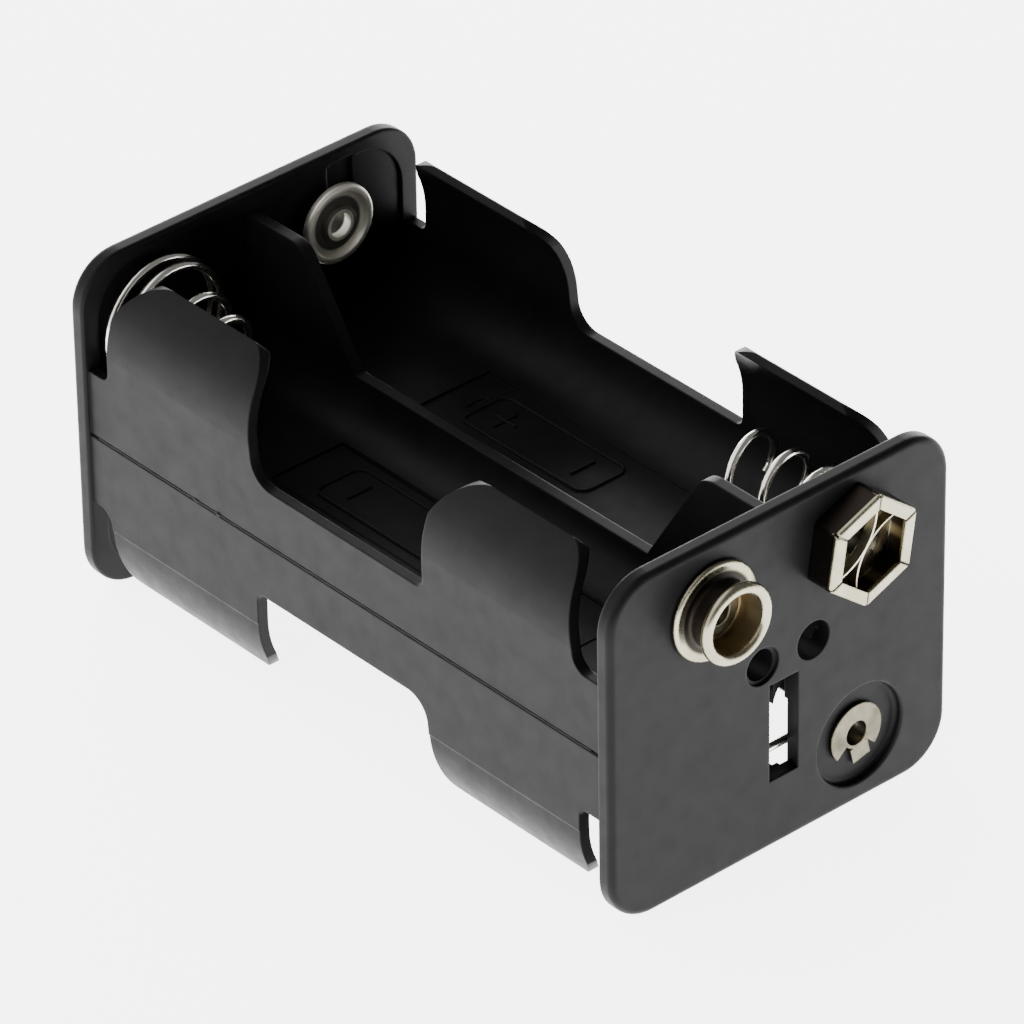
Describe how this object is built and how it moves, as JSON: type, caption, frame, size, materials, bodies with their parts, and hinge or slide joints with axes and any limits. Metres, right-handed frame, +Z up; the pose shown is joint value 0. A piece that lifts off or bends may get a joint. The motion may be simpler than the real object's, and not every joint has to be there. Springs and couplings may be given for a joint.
{
  "type": "battery holder",
  "caption": "Back-to-back AA battery holder in black plastic with coil springs and snap terminals on one end plate.",
  "frame": {"origin": "under the middle of the whole part's box, on the surface that the end plates rest on", "axes": "+X to the plate with the snap terminals, +Y to the socket's side, +Z up"},
  "size_m": [0.0594, 0.0312, 0.0276],
  "materials": {
    "black_plastic": "satin black moulding",
    "nickel_terminal": "bright nickel plate",
    "nickel_clip": "bright nickel plate",
    "nickel_contact": "nickel plate",
    "spring_wire": "nickel plated spring wire"
  },
  "bodies": {
    "root": {"housing": "black_plastic", "stud_terminal": "nickel_terminal", "socket_terminal": "nickel_terminal", "socket_clip": "nickel_clip", "socket_rivet": "nickel_contact", "upper_rear_contact": "nickel_contact", "lower_front_contact": "nickel_contact", "lower_rear_contact": "nickel_contact", "upper_front_contact": "nickel_contact", "upper_rear_spring": "spring_wire", "lower_front_spring": "spring_wire", "upper_front_spring": "spring_wire", "lower_rear_spring": "spring_wire"}
  },
  "joints": []
}
